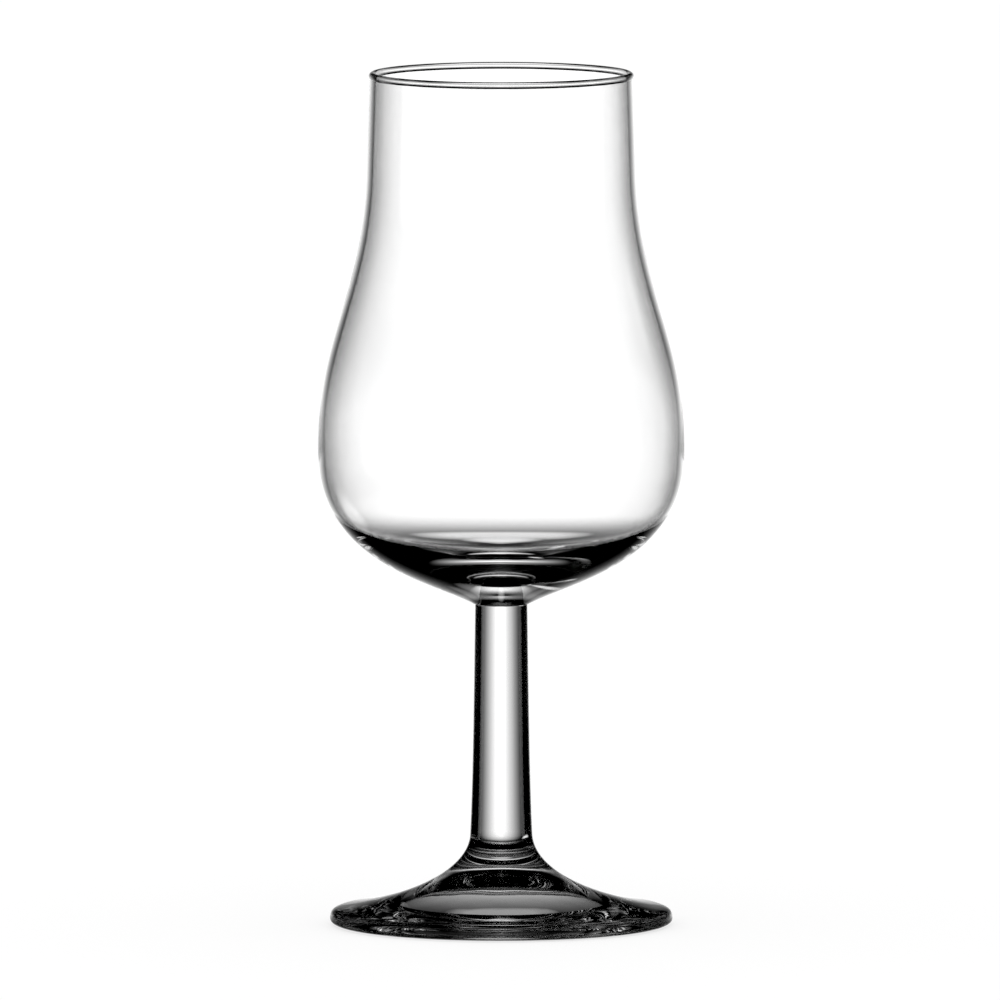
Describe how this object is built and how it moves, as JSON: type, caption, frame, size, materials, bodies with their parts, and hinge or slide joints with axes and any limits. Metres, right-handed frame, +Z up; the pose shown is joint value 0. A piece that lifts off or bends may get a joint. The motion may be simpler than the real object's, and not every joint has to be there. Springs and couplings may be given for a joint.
{
  "type": "tasting glass",
  "caption": "Clear stemmed tasting glass: a tulip bowl that narrows to a straight mouth, on a solid tapered stem and a flared round foot, for nosing and sipping spirits.",
  "frame": {"origin": "on the table, under the middle of the foot", "axes": "+Z up along the glass's own axis; +Y away from the camera of the picture; +X to its right"},
  "size_m": [0.0566, 0.0566, 0.132],
  "materials": {
    "clear_glass": "colourless clear glass, fire-polished to a bright smooth surface"
  },
  "bodies": {
    "root": {"bowl": "clear_glass", "stem": "clear_glass", "foot": "clear_glass"}
  },
  "joints": []
}
